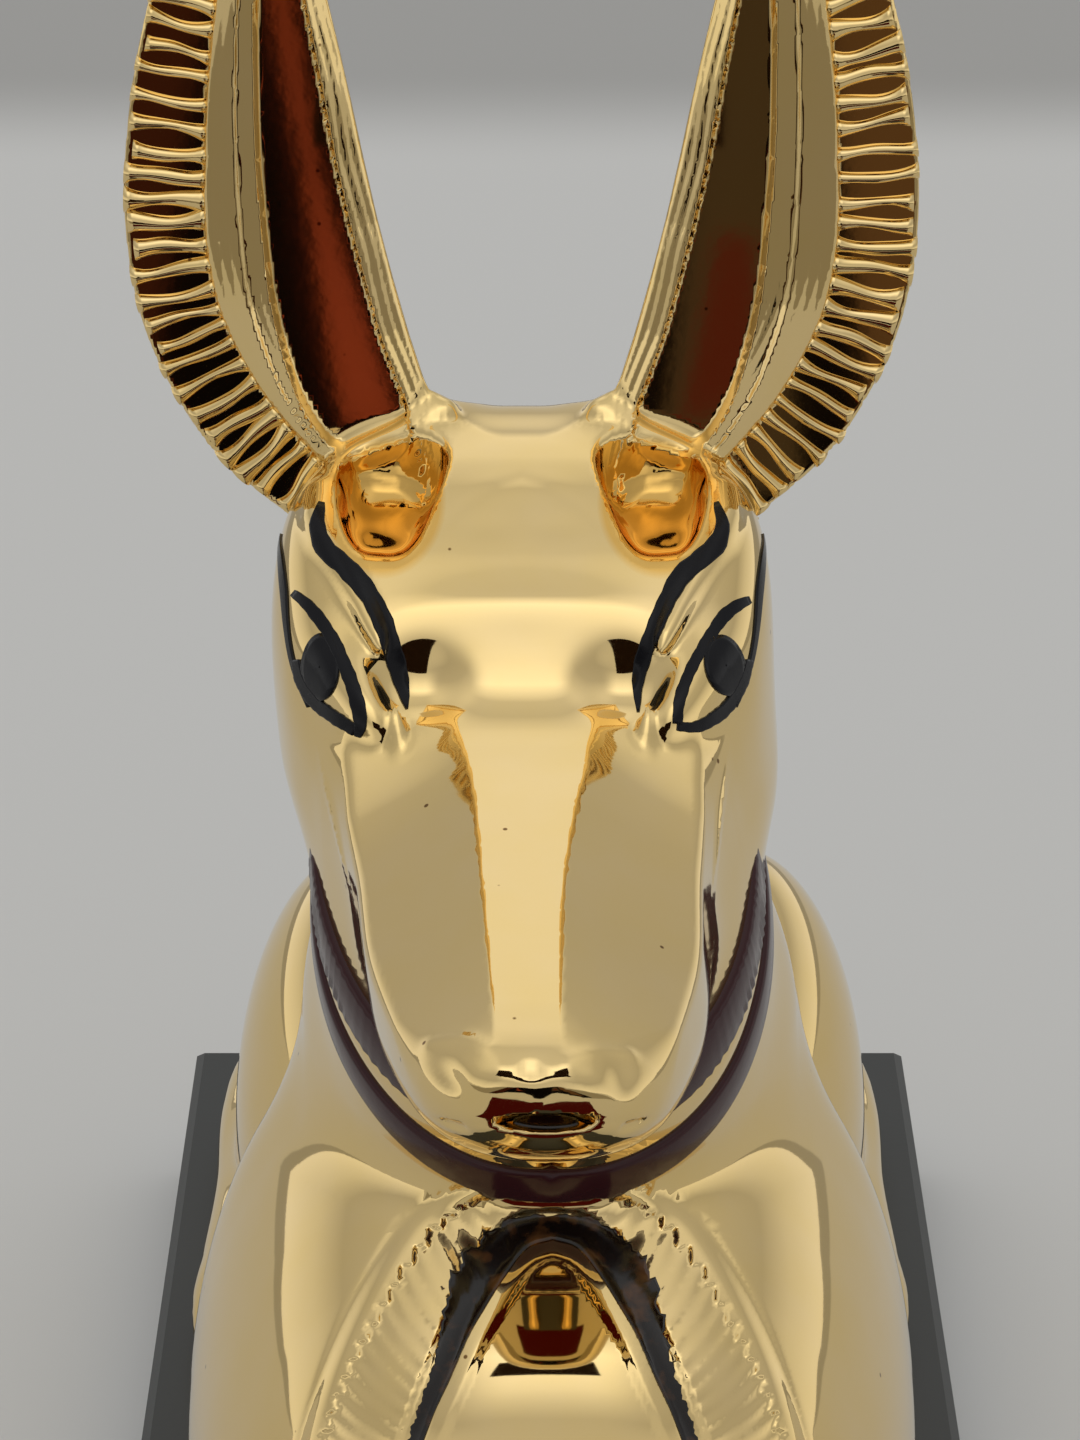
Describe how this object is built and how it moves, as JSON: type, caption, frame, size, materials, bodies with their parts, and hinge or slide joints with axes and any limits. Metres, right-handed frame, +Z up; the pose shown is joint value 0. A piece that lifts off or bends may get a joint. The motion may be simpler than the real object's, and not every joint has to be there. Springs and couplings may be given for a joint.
{
  "type": "anubis jackal figure",
  "caption": "Gilded recumbent jackal ornament with tall ribbed ears, painted eyes and a dark red banded collar, on a flat black plinth",
  "frame": {"origin": "middle of the plinth's flat underside", "axes": "+Z up, +Y from the nose towards the tail, +X towards the viewer's right when facing the jackal"},
  "size_m": [0.1, 0.26, 0.2333],
  "materials": {
    "gold": "polished bright gold over glaze, mirror gloss",
    "black_enamel": "gloss painted lines",
    "collar_red": "dark red gloss glaze",
    "plinth_black": "satin black"
  },
  "bodies": {
    "root": {"jackal": "gold", "plinth": "plinth_black"}
  },
  "joints": []
}
